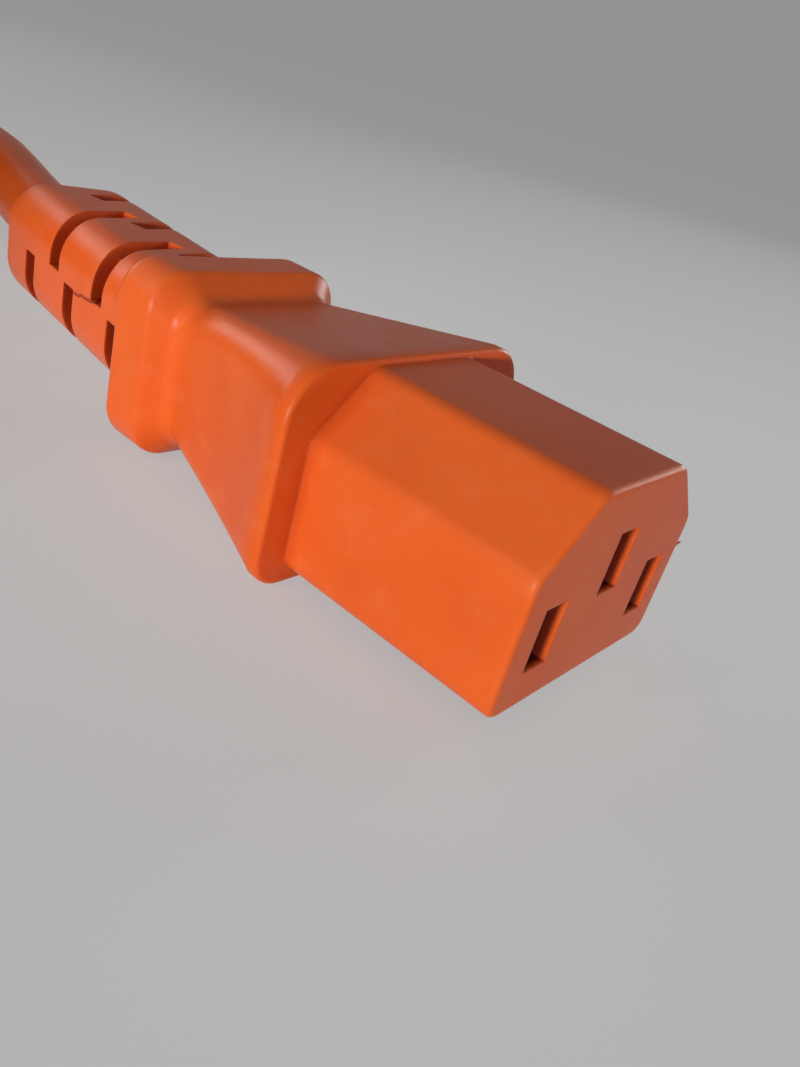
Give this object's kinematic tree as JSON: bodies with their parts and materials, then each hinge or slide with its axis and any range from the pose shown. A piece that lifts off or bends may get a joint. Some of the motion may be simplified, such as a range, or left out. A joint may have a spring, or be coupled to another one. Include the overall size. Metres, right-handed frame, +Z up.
{
  "type": "coiled power cord",
  "caption": "Flexible power cord with a moulded three-slot connector, slit strain reliefs and a matching shrouded pin plug; its spare length lies wound in a tied coil.",
  "frame": {"origin": "On the floor under the middle of the connector's length and width, with the cord and its plug left out.", "axes": "+X points out of the connector's slotted face, +Y to the right as that face is seen from in front, +Z up."},
  "size_m": [0.2095, 0.1053, 0.0352],
  "materials": {
    "housing": "satin moulded vinyl",
    "sheath": "satin vinyl sheath",
    "contact": "rolled strip",
    "pin": "nickel plated",
    "core_line": "brown insulation",
    "core_neutral": "blue insulation",
    "core_earth": "green and yellow insulation",
    "strap": "woven hook and loop strap"
  },
  "bodies": {
    "root": {"connector_body": "housing", "plug_body": "housing", "connector_sheath": "sheath", "plug_sheath": "sheath", "cord_lead": "sheath", "cord_coil": "sheath", "cord_tail": "sheath", "coil_tie": "strap", "contact_line": "contact", "pin_line": "pin", "connector_core_line": "core_line", "plug_core_line": "core_line", "contact_neutral": "contact", "pin_neutral": "pin", "connector_core_neutral": "core_neutral", "plug_core_neutral": "core_neutral", "contact_earth": "contact", "pin_earth": "pin", "connector_core_earth": "core_earth", "plug_core_earth": "core_earth"}
  },
  "joints": []
}
